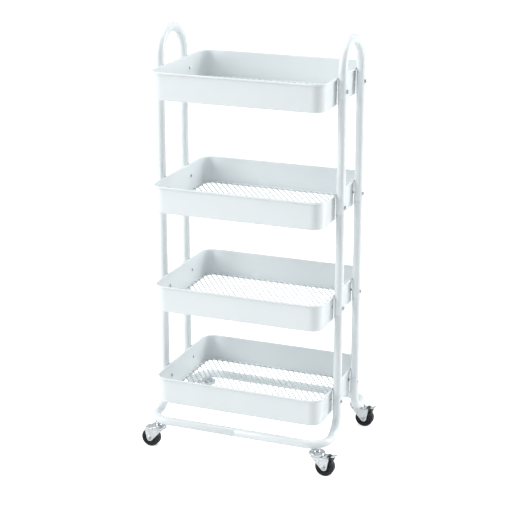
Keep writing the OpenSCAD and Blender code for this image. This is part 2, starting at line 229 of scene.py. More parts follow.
def addNoise(group, coords, scale, detail, roughness=0.5):
    noise = group.nodes.new("ShaderNodeTexNoise")
    noise.inputs["Scale"].default_value = scale
    noise.inputs["Detail"].default_value = detail
    noise.inputs["Roughness"].default_value = roughness
    group.links.new(coords.outputs["Object"], noise.inputs["Vector"])
    return noise


def mapRange(tree, source, low, high, fromLow=0.0, fromHigh=1.0):
    node = tree.nodes.new("ShaderNodeMapRange")
    node.inputs["From Min"].default_value = fromLow
    node.inputs["From Max"].default_value = fromHigh
    node.inputs["To Min"].default_value = low
    node.inputs["To Max"].default_value = high
    tree.links.new(source, node.inputs["Value"])
    return node.outputs["Result"]


def mathNode(tree, operation, a, b):
    node = tree.nodes.new("ShaderNodeMath")
    node.operation = operation
    for socket, value in ((node.inputs[0], a), (node.inputs[1], b)):
        if isinstance(value, (int, float)):
            socket.default_value = value
        else:
            tree.links.new(value, socket)
    return node.outputs[0]


def buildSurfaceGrain():
    # Fine relief with a slow drift of tone, for paint, rubber and plastic
    group, enter, leave, coords = newGroup(
        "surfaceGrain", {"Grain scale": 700.0, "Drift scale": 9.0},
        {"Height": "NodeSocketFloat", "Drift": "NodeSocketFloat"})
    grain = addNoise(group, coords, 700, 3)
    drift = addNoise(group, coords, 9, 4)
    group.links.new(enter.outputs["Grain scale"], grain.inputs["Scale"])
    group.links.new(enter.outputs["Drift scale"], drift.inputs["Scale"])
    group.links.new(grain.outputs["Fac"], leave.inputs["Height"])
    group.links.new(drift.outputs["Fac"], leave.inputs["Drift"])
    return group


def buildPlateMottle():
    # The cloudy grain of zinc plate with short rubbing marks
    group, enter, leave, coords = newGroup(
        "plateMottle", {"Cloud scale": 160.0},
        {"Cloud": "NodeSocketFloat", "Marks": "NodeSocketFloat"})
    cloud = addNoise(group, coords, 160, 5, 0.6)
    group.links.new(enter.outputs["Cloud scale"], cloud.inputs["Scale"])
    stretch = group.nodes.new("ShaderNodeMapping")
    stretch.inputs["Scale"].default_value = (1.0, 1.0, 14.0)
    group.links.new(coords.outputs["Object"], stretch.inputs["Vector"])
    marks = group.nodes.new("ShaderNodeTexNoise")
    marks.inputs["Scale"].default_value = 260
    marks.inputs["Detail"].default_value = 2
    group.links.new(stretch.outputs["Vector"], marks.inputs["Vector"])
    group.links.new(cloud.outputs["Fac"], leave.inputs["Cloud"])
    group.links.new(marks.outputs["Fac"], leave.inputs["Marks"])
    return group


def buildEdgeRub():
    # Where an outward edge has lost its shine
    group, enter, leave, coords = newGroup("edgeRub", {"Start": 0.53, "End": 0.62},
        {"Mask": "NodeSocketFloat"})
    geometry = group.nodes.new("ShaderNodeNewGeometry")
    ramp = group.nodes.new("ShaderNodeMapRange")
    group.links.new(geometry.outputs["Pointiness"], ramp.inputs["Value"])
    group.links.new(enter.outputs["Start"], ramp.inputs["From Min"])
    group.links.new(enter.outputs["End"], ramp.inputs["From Max"])
    patches = addNoise(group, coords, 60, 3)
    broken = mathNode(group, "MULTIPLY", ramp.outputs["Result"], patches.outputs["Fac"])
    group.links.new(broken, leave.inputs["Mask"])
    return group


def buildCrevice():
    # Painted shade: a mask for narrow gaps between close pieces, where little light gets in. The paint is darkened
    # there.
    group, enter, leave, coords = newGroup("crevice", {"Reach": 0.012, "Open": 0.5},
        {"Mask": "NodeSocketFloat"})
    hidden = group.nodes.new("ShaderNodeAmbientOcclusion")
    hidden.samples = 8
    group.links.new(enter.outputs["Reach"], hidden.inputs["Distance"])
    ramp = group.nodes.new("ShaderNodeMapRange")
    ramp.inputs["From Min"].default_value = 0.05
    group.links.new(hidden.outputs["AO"], ramp.inputs["Value"])
    group.links.new(enter.outputs["Open"], ramp.inputs["From Max"])
    group.links.new(ramp.outputs["Result"], leave.inputs["Mask"])
    return group


surfaceGrain = buildSurfaceGrain()
crevice = buildCrevice()
plateMottle = buildPlateMottle()
edgeRub = buildEdgeRub()


def newMaterial(name, constants):
    material = bpy.data.materials.new(name)
    material.use_nodes = True
    shader = material.node_tree.nodes["Principled BSDF"]
    for label, value in constants.items():
        shader.inputs[label].default_value = value
    return material, material.node_tree, shader


def placeGroup(tree, group, values):
    node = tree.nodes.new("ShaderNodeGroup")
    node.node_tree = group
    for label, value in values.items():
        node.inputs[label].default_value = value
    return node


def toneMix(tree, factor, dark, light):
    node = tree.nodes.new("ShaderNodeMix")
    node.data_type = "RGBA"
    node.inputs["A"].default_value = (*dark, 1)
    node.inputs["B"].default_value = (*light, 1)
    tree.links.new(factor, node.inputs["Factor"])
    return node.outputs["Result"]


def addBump(tree, shader, height, distance, strength=1.0):
    bump = tree.nodes.new("ShaderNodeBump")
    bump.inputs["Distance"].default_value = distance
    bump.inputs["Strength"].default_value = strength
    tree.links.new(height, bump.inputs["Height"])
    tree.links.new(bump.outputs["Normal"], shader.inputs["Normal"])


paintSettings = {
    "dark": (0.775, 0.820, 0.835), "light": (0.815, 0.858, 0.872),
    # The last colour on the next line is painted shade: the dark tone the paint is given in narrow gaps, such as
    # between the tray walls and the posts.
    "roughness": (0.22, 0.30), "grainScale": 620, "grainDepth": 0.00005, "crevice": (0.20, 0.24, 0.25),
}


def buildPaint(name, settings):
    # White powder coat: a faint orange peel under a soft gloss, with painted shade darkening it in narrow gaps
    material, tree, shader = newMaterial(name, {"Specular IOR Level": 0.5, "Coat Roughness": 0.12,
        "Coat Weight": 0.25})
    grain = placeGroup(tree, surfaceGrain, {"Grain scale": settings["grainScale"], "Drift scale": 6.0})
    colour = toneMix(tree, grain.outputs["Drift"], settings["dark"], settings["light"])
    # Painted shade: where the occlusion mask finds a narrow gap, the paint colour is mixed towards the dark gap colour.
    gapShadeMask = placeGroup(tree, crevice, {})
    shaded = tree.nodes.new("ShaderNodeMix")
    shaded.data_type = "RGBA"
    shaded.inputs["A"].default_value = (*settings["crevice"], 1)
    tree.links.new(colour, shaded.inputs["B"])
    tree.links.new(gapShadeMask.outputs["Mask"], shaded.inputs["Factor"])
    tree.links.new(shaded.outputs["Result"], shader.inputs["Base Color"])
    rough = mapRange(tree, grain.outputs["Drift"], *settings["roughness"])
    tree.links.new(rough, shader.inputs["Roughness"])
    addBump(tree, shader, grain.outputs["Height"], settings["grainDepth"], 0.6)
    return material


zincSettings = {
    "dark": (0.54, 0.57, 0.59), "light": (0.80, 0.82, 0.84),
    "roughness": (0.14, 0.30), "cloudScale": 190,
}
rivetSettings = {
    "dark": (0.42, 0.43, 0.44), "light": (0.66, 0.67, 0.68),
    "roughness": (0.22, 0.40), "cloudScale": 420,
}


def buildPlate(name, settings):
    # Bright zinc plate: cloudy, with rubbed edges
    material, tree, shader = newMaterial(name, {"Metallic": 1.0})
    mottle = placeGroup(tree, plateMottle, {"Cloud scale": settings["cloudScale"]})
    rub = placeGroup(tree, edgeRub, {})
    cloud = mapRange(tree, mottle.outputs["Cloud"], 0, 1, 0.32, 0.68)
    tree.links.new(toneMix(tree, cloud, settings["dark"], settings["light"]), shader.inputs["Base Color"])
    rough = mapRange(tree, mottle.outputs["Marks"], *settings["roughness"], 0.3, 0.7)
    worn = mathNode(tree, "SUBTRACT", rough, mathNode(tree, "MULTIPLY", rub.outputs["Mask"], 0.1))
    tree.links.new(worn, shader.inputs["Roughness"])
    addBump(tree, shader, mottle.outputs["Marks"], 0.00002, 0.5)
    return material


tyreSettings = {"dark": (0.010, 0.012, 0.015), "light": (0.022, 0.026, 0.032),
    "roughness": (0.42, 0.62), "grainScale": 900, "grainDepth": 0.00008}
plasticSettings = {"dark": (0.018, 0.020, 0.023), "light": (0.026, 0.029, 0.033),
    "roughness": (0.28, 0.42), "grainScale": 1500, "grainDepth": 0.00003}


def buildBlack(name, settings):
    # Black rubber or moulded plastic, paler where edges have scuffed
    material, tree, shader = newMaterial(name, {"Specular IOR Level": 0.35})
    grain = placeGroup(tree, surfaceGrain, {"Grain scale": settings["grainScale"], "Drift scale": 40.0})
    rub = placeGroup(tree, edgeRub, {"Start": 0.52, "End": 0.60})
    shade = mathNode(tree, "ADD", grain.outputs["Drift"], rub.outputs["Mask"])
    tree.links.new(toneMix(tree, shade, settings["dark"], settings["light"]), shader.inputs["Base Color"])
    tree.links.new(mapRange(tree, grain.outputs["Drift"], *settings["roughness"], 0.3, 0.7),
        shader.inputs["Roughness"])
    addBump(tree, shader, grain.outputs["Height"], settings["grainDepth"], 0.7)
    return material


framePaint = buildPaint("frame_paint", paintSettings)
# Painted shade: the mesh floors are the same white powder coat as the frame, given a darker colour so that the thin
# strands read as shaded.
shadedMeshPaint = buildPaint("mesh_paint", {**paintSettings, "grainDepth": 0.00003,
    "dark": (0.56, 0.61, 0.63), "light": (0.60, 0.65, 0.67)})
zincPlate = buildPlate("zinc_plate", zincSettings)
rivetSteel = buildPlate("rivet_steel", rivetSettings)
tyreRubber = buildBlack("tyre_rubber", tyreSettings)
hubPlastic = buildBlack("hub_plastic", plasticSettings)
print("materials built")


# ---- Geometry Nodes ----

def newTree(name, inputs):
    tree = bpy.data.node_groups.new(name, "GeometryNodeTree")
    tree.interface.new_socket("Geometry", in_out="INPUT", socket_type="NodeSocketGeometry")
    for label, kind in inputs.items():
        tree.interface.new_socket(label, in_out="INPUT", socket_type=kind)
    tree.interface.new_socket("Geometry", in_out="OUTPUT", socket_type="NodeSocketGeometry")
    return tree, tree.nodes.new("NodeGroupInput"), tree.nodes.new("NodeGroupOutput")


def finishTree(tree, enter, leave, geometry):
    realize = tree.nodes.new("GeometryNodeRealizeInstances")
    paint = tree.nodes.new("GeometryNodeSetMaterial")
    tree.links.new(geometry, realize.inputs["Geometry"])
    tree.links.new(realize.outputs["Geometry"], paint.inputs["Geometry"])
    tree.links.new(enter.outputs["Material"], paint.inputs["Material"])
    tree.links.new(paint.outputs["Geometry"], leave.inputs["Geometry"])


def runTree(name, mesh, tree, values):
    # Gives the tree's result as a plain mesh. The modifier goes with its helper object.
    helper = bpy.data.objects.new("helper", mesh)
    scene.collection.objects.link(helper)
    modifier = helper.modifiers.new("nodes", "NODES")
    modifier.node_group = tree
    for item in tree.interface.items_tree:
        if item.in_out == "INPUT" and item.name in values:
            modifier[item.identifier] = values[item.name]
    graph = bpy.context.evaluated_depsgraph_get()
    result = bpy.data.meshes.new_from_object(helper.evaluated_get(graph))
    result.name = name
    bpy.data.objects.remove(helper)
    return result


def buildFastenerTree():
    # Sets a fastener at every point, turned by the point's own facing
    tree, enter, leave = newTree("fastenerRows", {
        "Unit": "NodeSocketObject", "Size": "NodeSocketFloat", "Material": "NodeSocketMaterial"})
    unit = tree.nodes.new("GeometryNodeObjectInfo")
    place = tree.nodes.new("GeometryNodeInstanceOnPoints")
    facing = tree.nodes.new("GeometryNodeInputNamedAttribute")
    facing.data_type = "FLOAT_VECTOR"
    facing.inputs["Name"].default_value = "facing"
    tree.links.new(enter.outputs["Unit"], unit.inputs["Object"])
    tree.links.new(enter.outputs["Geometry"], place.inputs["Points"])
    tree.links.new(unit.outputs["Geometry"], place.inputs["Instance"])
    tree.links.new(facing.outputs["Attribute"], place.inputs["Rotation"])
    tree.links.new(enter.outputs["Size"], place.inputs["Scale"])
    finishTree(tree, enter, leave, place.outputs["Instances"])
    return tree


fastenerTree = buildFastenerTree()


def unitObject(mesh):
    unit = bpy.data.objects.new("unit", mesh)
    scene.collection.objects.link(unit)
    return unit


def setFasteners(name, unit, places, material, size=1.0):
    # places: (position, turn as Euler angles)
    points = bpy.data.meshes.new("places")
    points.from_pydata([tuple(p) for p, turn in places], [], [])
    facing = points.attributes.new("facing", "FLOAT_VECTOR", "POINT")
    facing.data.foreach_set("vector", [v for p, turn in places for v in turn])
    return runTree(name, points, fastenerTree, {"Unit": unit, "Size": size, "Material": material})


def buildMeshTree():
    # Two staggered grids of crossings make the expanded mesh
    tree, enter, leave = newTree("expandedMesh", {
        "Strand": "NodeSocketObject", "Pitch X": "NodeSocketFloat", "Pitch Y": "NodeSocketFloat",
        "Count X": "NodeSocketInt", "Count Y": "NodeSocketInt", "Material": "NodeSocketMaterial"})
    unit = tree.nodes.new("GeometryNodeObjectInfo")
    tree.links.new(enter.outputs["Strand"], unit.inputs["Object"])
    join = tree.nodes.new("GeometryNodeJoinGeometry")

    def product(a, b):
        node = tree.nodes.new("ShaderNodeMath")
        node.operation = "MULTIPLY"
        for socket, value in ((node.inputs[0], a), (node.inputs[1], b)):
            if isinstance(value, float):
                socket.default_value = value
            else:
                tree.links.new(value, socket)
        return node.outputs[0]

    for extra in (0, 1):
        grid = tree.nodes.new("GeometryNodeMeshGrid")
        for axis in ("X", "Y"):
            count = tree.nodes.new("ShaderNodeMath")
            count.operation = "ADD"
            count.inputs[1].default_value = extra
            tree.links.new(enter.outputs["Count " + axis], count.inputs[0])
            span = tree.nodes.new("ShaderNodeMath")
            span.operation = "SUBTRACT"
            span.inputs[1].default_value = 1
            tree.links.new(count.outputs[0], span.inputs[0])
            tree.links.new(count.outputs[0], grid.inputs["Vertices " + axis])
            tree.links.new(product(span.outputs[0], enter.outputs["Pitch " + axis]),
                grid.inputs["Size " + axis])
        place = tree.nodes.new("GeometryNodeInstanceOnPoints")
        tree.links.new(grid.outputs["Mesh"], place.inputs["Points"])
        tree.links.new(unit.outputs["Geometry"], place.inputs["Instance"])
        tree.links.new(place.outputs["Instances"], join.inputs["Geometry"])
    finishTree(tree, enter, leave, join.outputs["Geometry"])
    return tree


# ---- Trays ----

traySettings = {
    "sheet": 0.001, "cornerRadius": 0.028, "bendRadius": 0.005, "rim": 0.005,
    "lip": 0.004, "draft": 0.0012, "cornerSteps": 14, "guard": 0.0015,
}
trayHeight = trayHigh[2] - trayLow[2]
wallX = trayHigh[0] - (traySettings["rim"] - traySettings["sheet"])
wallY = trayHigh[1] - (traySettings["rim"] - traySettings["sheet"])


def wallPath(settings):
    # Round the tray's outer wall: points with their outward directions
    radius, steps, guard = settings["cornerRadius"], settings["cornerSteps"], settings["guard"]
    path = []
    for sx, sy, start in ((1, 1, 0), (-1, 1, 90), (-1, -1, 180), (1, -1, 270)):
        cx, cy = sx * (wallX - radius), sy * (wallY - radius)
        for k in range(steps + 1):
            a = math.radians(start + 90 * k / steps)
            n = Vector((math.cos(a), math.sin(a)))
            path.append((Vector((cx, cy)) + n * radius, n))
            along = Vector((-n.y, n.x))
            if k == 0:
                path.insert(-1, (path[-1][0] - along * guard, n))
            if k == steps:
                path.append((path[-1][0] + along * guard, n))
    return path


def trayProfile(settings):
    # Closed section of the sheet: lip, bend, drafted wall and rolled rim
    t, bend, rimR, h = settings["sheet"], settings["bendRadius"], settings["rim"] / 2, trayHeight
    rollX = rimR - t
    centre = [(-bend - settings["lip"], t / 2), (-bend - settings["guard"], t / 2)]
    centre += arc(-bend, bend, bend - t / 2, -90, 0, 8)
    centre += [(-t / 2, bend + settings["guard"]), (-t / 2, h - rimR - settings["guard"])]
    centre += arc(rollX, h - rimR, rimR - t / 2, 180, -112, 26)
    left, right = [], []
    for k, p in enumerate(centre):
        before, after = centre[max(k - 1, 0)], centre[min(k + 1, len(centre) - 1)]
        dx, dz = after[0] - before[0], after[1] - before[1]
        length = math.hypot(dx, dz)
        nx, nz = -dz / length, dx / length
        left.append((p[0] + nx * t / 2, p[1] + nz * t / 2))
        right.append((p[0] - nx * t / 2, p[1] - nz * t / 2))
    loop = left + right[::-1]
    return [(u - settings["draft"] * max(0.0, 1 - v / (h * 0.9)), v) for u, v in loop]


def sweptWall(name, path, profile, z):
    points, faces = [], []
    count = len(profile)
    for p, n in path:
        points += [(p.x + n.x * u, p.y + n.y * u, z + v) for u, v in profile]
    for i in range(len(path)):
        j = (i + 1) % len(path)
        for k in range(count):
            m = (k + 1) % count
            faces.append((i * count + k, j * count + k, j * count + m, i * count + m))
    bm = bmesh.new()
    bm.from_mesh(meshFromData(name, points, faces))
    bmesh.ops.recalc_face_normals(bm, faces=bm.faces)
    return meshFromBmesh(name, bm)


trayMesh = sweptWall("traySheet", wallPath(traySettings), trayProfile(traySettings), 0)
for tier in (1, 2, 3, 4):
    low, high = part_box(f"tray_{tier}")
    mesh = movedMesh(trayMesh, Matrix.Translation((0, 0, low[2])), f"traySheet{tier}")
    tray = pieceFromMesh(f"tray_sheet_{tier}", mesh, framePaint, "frame", f"tray_{tier}")
print("trays built")


# ---- Mesh floors ----

meshSettings = {
    "pitchX": 0.0148, "pitchY": 0.021, "strand": 0.0019, "thick": 0.0008, "tilt": 0.00035,
    "bond": 0.0042,
}


def strandUnit(settings):
    # The two strands that rise from one crossing to its neighbours on the next row
    px, py, w = settings["pitchX"] / 2, settings["pitchY"] / 2, settings["strand"]
    t, lean, bond = settings["thick"] / 2, settings["tilt"], settings["bond"] / 2
    points, faces = [], []
    for side in (1, -1):
        line = [
            (side * w / 2, 0.0), (side * w / 2, bond), (side * w / 2, bond),
            (side * (px - w / 2), py - bond), (side * (px - w / 2), py),
        ]
        line = [line[0], line[1], line[3], line[4]]
        base = len(points)
        for x, y in line:
            for dx, dz in ((-1, -1), (1, -1), (1, 1), (-1, 1)):
                points.append((x + dx * w / 2, y, dz * t + dx * lean))
        for k in range(3):
            for c in range(4):
                n = (c + 1) % 4
                a, b = base + 4 * k + c, base + 4 * k + n
                faces.append((a, b, b + 4, a + 4))
    bm = bmesh.new()
    bm.from_mesh(meshFromData("strands", points, faces))
    bmesh.ops.recalc_face_normals(bm, faces=bm.faces)
    return meshFromBmesh("strands", bm)


def buildMeshFloor(settings):
    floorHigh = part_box("mesh_1")[1]
    halfX, halfY = floorHigh[0], floorHigh[1]
    countX = 2 * int(halfX / settings["pitchX"]) + 3
    countY = 2 * int(halfY / settings["pitchY"]) + 3
    unit = unitObject(strandUnit(settings))
    mesh = runTree("meshFloor", bpy.data.meshes.new("empty"), buildMeshTree(), {
        "Strand": unit, "Pitch X": settings["pitchX"], "Pitch Y": settings["pitchY"],
        "Count X": countX, "Count Y": countY, "Material": shadedMeshPaint})
    bpy.data.objects.remove(unit)
    bm = bmesh.new()
    bm.from_mesh(mesh)
    bmesh.ops.remove_doubles(bm, verts=bm.verts, dist=0.00002)
    radius = traySettings["cornerRadius"] - (wallX - halfX)
    cuts = [((halfX, 0, 0), (1, 0, 0)), ((0, halfY, 0), (0, 1, 0))]
    for k in range(1, 8):
        a = math.radians(90 * k / 8)
        n = (math.cos(a), math.sin(a), 0)
        cuts.append(((halfX - radius + radius * n[0], halfY - radius + radius * n[1], 0), n))
    for point, normal in cuts:
        for sx, sy in ((1, 1), (-1, 1), (1, -1), (-1, -1)):
            if (normal[0] == 0 and sx < 0) or (normal[1] == 0 and sy < 0):
                continue
            bmesh.ops.bisect_plane(
                bm, geom=bm.verts[:] + bm.edges[:] + bm.faces[:],
                plane_co=(point[0] * sx, point[1] * sy, 0),
                plane_no=(normal[0] * sx, normal[1] * sy, 0), clear_outer=True, dist=1e-7)
    bmesh.ops.holes_fill(bm, edges=[e for e in bm.edges if e.is_boundary], sides=12)
    return meshFromBmesh("meshFloor", bm)


floorMesh = buildMeshFloor(meshSettings)
for tier in (1, 2, 3, 4):
    low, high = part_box(f"mesh_{tier}")
    mesh = movedMesh(floorMesh, Matrix.Translation((0, 0, (low[2] + high[2]) / 2)), f"meshFloor{tier}")
    floorPiece = pieceFromMesh(f"mesh_floor_{tier}", mesh, shadedMeshPaint, "frame", f"mesh_{tier}")
    for polygon in mesh.polygons:
        polygon.use_smooth = False
print("mesh floors built", len(floorMesh.polygons), "faces each")


# ---- Tubes ----

tubeSettings = {"around": 40, "endRound": 0.0006, "bendSteps": 14, "guard": 0.002}


def bendPath(centre, start, turn, radius, steps):
    # Points on a bend: start and turn are unit directions from the centre, a quarter or half apart
    points = []
    total = math.pi / 2 if turn[3] == 90 else math.pi
    u, v = Vector(start), Vector(turn[:3])
    for k in range(steps + 1):
        a = total * k / steps
        points.append(Vector(centre) + (u * math.cos(a) + v * math.sin(a)) * radius)
    return points


def tubeMesh(name, path, settings):
    # A closed tube along a path, with small rounded ends
    r, edge, around = tubeR, settings["endRound"], settings["around"]
    rings = [(path[0], r)]
    for p in path[1:]:
        rings.append((p, r))
    first = (path[1] - path[0]).normalized()
    last = (path[-1] - path[-2]).normalized()
    head = [(path[0] + first * edge * s, r - edge * d) for s, d in ((0, 1.0), (0.3, 0.29), (1, 0))]
    tail = [(path[-1] - last * edge * s, r - edge * d) for s, d in ((1, 0), (0.3, 0.29), (0, 1.0))]
    rings = head + rings[1:-1] + tail
    points, faces = [], []
    across = first.orthogonal().normalized()
    for k, (p, radius) in enumerate(rings):
        ahead = rings[min(k + 1, len(rings) - 1)][0] - rings[max(k - 1, 0)][0]
        forward = ahead.normalized()
        across = (across - forward * across.dot(forward)).normalized()
        side = forward.cross(across)
        for s in range(around):
            a = 2 * math.pi * s / around
            points.append(p + (across * math.cos(a) + side * math.sin(a)) * radius)
    for k in range(len(rings) - 1):
        for s in range(around):
            n = (s + 1) % around
            a, b = k * around, (k + 1) * around
            faces.append((a + s, a + n, b + n, b + s))
    faces.append(tuple(range(around))[::-1])
    faces.append(tuple(range((len(rings) - 1) * around, len(rings) * around)))
    mesh = meshFromData(name, points, faces)
    return mesh


def guarded(points, guard):
    # Adds a ring close to the first and last point of a bend, on the straights beside it
    first = (points[0] - points[1]).normalized()
    last = (points[-1] - points[-2]).normalized()
    return [points[0] + first * guard] + points + [points[-1] + last * guard]


handleTopZ = handleHigh[2] - tubeR - postY
for side, name in ((-1, "left"), (1, "right")):
    x = side * postX
    arch = bendPath((x, 0, handleTopZ), (0, -1, 0), (0, 0, 1, 180), postY, 2 * tubeSettings["bendSteps"])
    path = [Vector((x, -postY, seamHigh))] + guarded(arch,
        tubeSettings["guard"]) + [Vector((x, postY, seamHigh))]
    tube = pieceFromMesh(f"handle_bar_{name}", tubeMesh(f"handleBar{name}", path, tubeSettings),
        framePaint, "frame", f"handle_{name}")

for corner, (sx, sy) in corners.items():
    x, y = sx * postX, sy * postY
    for part, z0, z1 in (("mid", seamMid, seamHigh), ("low", seamLow, seamMid)):
        path = [Vector((x, y, z)) for z in (z0, (z0 + z1) / 2, z1)]
        tube = pieceFromMesh(f"post_tube_{part}_{corner}",
            tubeMesh(f"postTube{part}{corner}", path, tubeSettings), framePaint, "frame",
                f"post_{part}_{corner}")
    down = bendPath((x, sy * (postY + bendR), baseZ + bendR), (0, -sy, 0), (0, 0, -1, 90), bendR,
        tubeSettings["bendSteps"])
    out = bendPath((sx * (postX - bendR), sy * (baseY - bendR), baseZ), (sx, 0, 0), (0, sy, 0, 90),
        bendR, tubeSettings["bendSteps"])
    path = [Vector((x, y, seamLow)), down[0] + Vector((0, 0, tubeSettings["guard"]))] + down
    path += out + [out[-1] - Vector((sx * tubeSettings["guard"], 0, 0)), Vector((0, sy * baseY, baseZ))]
    tube = pieceFromMesh(f"base_bend_{corner}", tubeMesh(f"baseBend{corner}", path, tubeSettings),
        framePaint, "frame", f"base_tube_{corner}")
print("tubes built")


# ---- Screws and cap nuts ----

screwSettings = {"headRadius": 0.0042, "headHeight": 0.0032, "recess": 0.0050, "recessWidth": 0.0012,
    "recessDepth": 0.0018}
nutSettings = {"flats": 0.008, "height": 0.0024, "domeRadius": 0.0036, "domeRise": 0.0020}


def panHead(settings):
    # Domed head on z = 0 with a crossed recess
    r, h = settings["headRadius"], settings["headHeight"]
    profile = [(0, -0.001), (r * 0.55, -0.001), (r * 0.55, 0), (r * 0.96, 0)]
    profile += [(r, 0.0003), (r, 0.0007)]
    profile += [(r * math.cos(math.radians(a)), 0.0007 + (h - 0.0007) * math.sin(math.radians(a))) for a in range(15, 90, 12)]
    profile += [(0, h)]
    head = latheMesh("panHead", profile, 32)
    bm = bmesh.new()
    for turn in (0, 90):
        bmesh.ops.create_cube(bm, size=1, matrix=Matrix.Rotation(math.radians(turn), 4,
            "Z") @ Matrix.Translation(
            (0, 0, h)) @ Matrix.Diagonal((settings["recess"], settings["recessWidth"],
                2 * settings["recessDepth"], 1)))
    cutter = unitObject(solved(meshFromBmesh("cross", bm), []))
    cut = solved(head, [("BOOLEAN", {"object": cutter, "operation": "DIFFERENCE", "solver": "EXACT",
        "use_self": True})])
    bpy.data.objects.remove(cutter)
    return cut


def capNut(settings):
    # Hexagon with a turned chamfer under a dome
    flats, h, dome = settings["flats"] / 2, settings["height"], settings["domeRadius"]
    bm = bmesh.new()
    bmesh.ops.create_cone(bm, cap_ends=True, segments=6, radius1=flats / math.cos(math.pi / 6),
                          radius2=flats / math.cos(math.pi / 6), depth=h,
                              matrix=Matrix.Translation((0, 0, h / 2)))
    bmesh.ops.bevel(bm, geom=[e for e in bm.edges], offset=0.0003, segments=2, affect="EDGES")
    hexagon = meshFromBmesh("hexagon", bm)
    rise = settings["domeRise"]
    profile = [(0, h - 0.0005), (dome, h - 0.0005), (dome, h)]
    profile += [(dome * math.cos(math.radians(a)), h + rise * math.sin(math.radians(a))) for a in range(10, 90, 10)]
    profile += [(0, h + rise)]
    return joinMeshes("capNut", [hexagon, latheMesh("dome", profile, 32)])


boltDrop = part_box("tray_1")[1][2] - (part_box("tray_screws")[1][2] - screwSettings["headRadius"])  # rim to screw axis
boltHeights = []
for tier in (1, 2, 3, 4):
    low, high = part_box(f"tray_{tier}")
    boltHeights.append(high[2] - boltDrop)
headUnit = unitObject(panHead(screwSettings))
nutUnit = unitObject(capNut(nutSettings))
innerWall = wallX - traySettings["sheet"] - traySettings["draft"] / 2
headPlaces, nutPlaces = [], []
for sx in (-1, 1):
    for sy in (-1, 1):
        for k, z in enumerate(boltHeights):
            spin = math.radians(17 + 31 * k + 40 * sy)
            headPlaces.append(((sx * innerWall, sy * postY, z), (spin, -sx * math.pi / 2, 0)))
            nutPlaces.append(((sx * (postX + tubeR - 0.0002), sy * postY, z), (spin, sx * math.pi / 2, 0)))
heads = pieceFromMesh("screw_heads", setFasteners("screwHeads", headUnit, headPlaces, zincPlate),
    zincPlate, "frame", "tray_screws")
nuts = pieceFromMesh("domed_nuts", setFasteners("domedNuts", nutUnit, nutPlaces, rivetSteel),
    rivetSteel, "frame", "cap_nuts")
lockLow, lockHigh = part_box("base_lock_screws")
lockPlaces = [(((lockLow[0] + lockHigh[0]) / 2, sy * baseY, baseZ - tubeR + 0.0002),
    (math.pi, 0, 0.4 * sy)) for sy in (-1, 1)]
locks = pieceFromMesh("lock_screws", setFasteners("lockScrews", headUnit, lockPlaces, zincPlate, 0.76),
    zincPlate, "frame", "base_lock_screws")
bpy.data.objects.remove(headUnit)
bpy.data.objects.remove(nutUnit)
print("fasteners set")


# ---- Casters ----

# One caster is drawn with its swivel axis on Z and its wheel towards +X, then set at the four corners
capLow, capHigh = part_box("caster_fr_cap")
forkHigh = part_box("caster_fr_fork")[1]
tyreLow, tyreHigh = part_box("caster_fr_tyre")
hubLow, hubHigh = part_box("caster_fr_hub")
shoeLow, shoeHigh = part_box("brake_fr_shoe")
pinLow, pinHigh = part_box("brake_fr_pin")
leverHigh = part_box("brake_fr_lever")[1]
casterX, casterY = (capLow[0] + capHigh[0]) / 2, abs(capLow[1] + capHigh[1]) / 2
wheelR = (tyreHigh[2] - tyreLow[2]) / 2
wheelZ = (tyreHigh[2] + tyreLow[2]) / 2
wheelHalf = (tyreHigh[1] - tyreLow[1]) / 2
trail = (tyreLow[0] + tyreHigh[0]) / 2 - casterX
pivotX = (pinLow[0] + pinHigh[0]) / 2 - casterX
pivotZ = (pinLow[2] + pinHigh[2]) / 2

capSettings = {"king": 0.0049, "collar": 0.0076, "cover": 0.0014}
forkSettings = {"sheet": 0.0018, "bend": 0.0032, "cheek": 0.0075, "crown": 0.017, "half": 0.0124,
    "flat": 0.004, "edge": 0.0004}
treadSettings = {"shoulder": 0.003, "groove": 0.0003, "grooveAt": 0.0045}
hubSettings = {"boss": 0.006, "bore": 0.00306, "ribs": 6, "rib": 0.0016}
shoeSettings = {"eye": 0.0028, "edge": 0.0007, "press": 12}
tabSettings = {"tilt": 21, "corner": 0.0045, "edge": 0.0004, "width": 0.014, "thick": 0.0016,
    "below": 0.0018}


def capMesh(settings):
    # Turned and pressed cover over the ball race, with its collar up to the tube
    low, top, r = capLow[2], capHigh[2], capHigh[0] - casterX
    rim = r - settings["cover"]
    seat = low + 0.0054
    profile = [
        (settings["king"], seat - 0.002), (rim, seat - 0.002), (rim, low + 0.0003), (r - 0.0003, low),
        (r, low + 0.0003), (r, seat - 0.0016),
    ]
    profile += [(r - 0.0016 + 0.0016 * math.cos(math.radians(a)),
        seat - 0.0016 + 0.0020 * math.sin(math.radians(a))) for a in (20, 45, 65, 82)]
    profile += [
        (r - 0.0026, seat + 0.0006), (r - 0.0034, seat + 0.0002), (r - 0.0042, seat + 0.0004),
        (r - 0.0056, seat + 0.0014), (r - 0.0072, seat + 0.0021), (r - 0.0088, seat + 0.0023),
        (r - 0.0096, seat + 0.0020), (r - 0.0102, seat + 0.0013), (r - 0.0108, seat + 0.0013),
        (settings["collar"], seat + 0.0017), (settings["collar"], seat + 0.0038),
        (settings["collar"] - 0.0007, seat + 0.0041), (settings["collar"] - 0.0007, seat + 0.0048),
        (settings["collar"], seat + 0.0051), (settings["collar"], top - 0.0003),
        (settings["collar"] - 0.0003, top), (settings["king"], top),
    ]
    return latheMesh("casterCap", profile, 72)


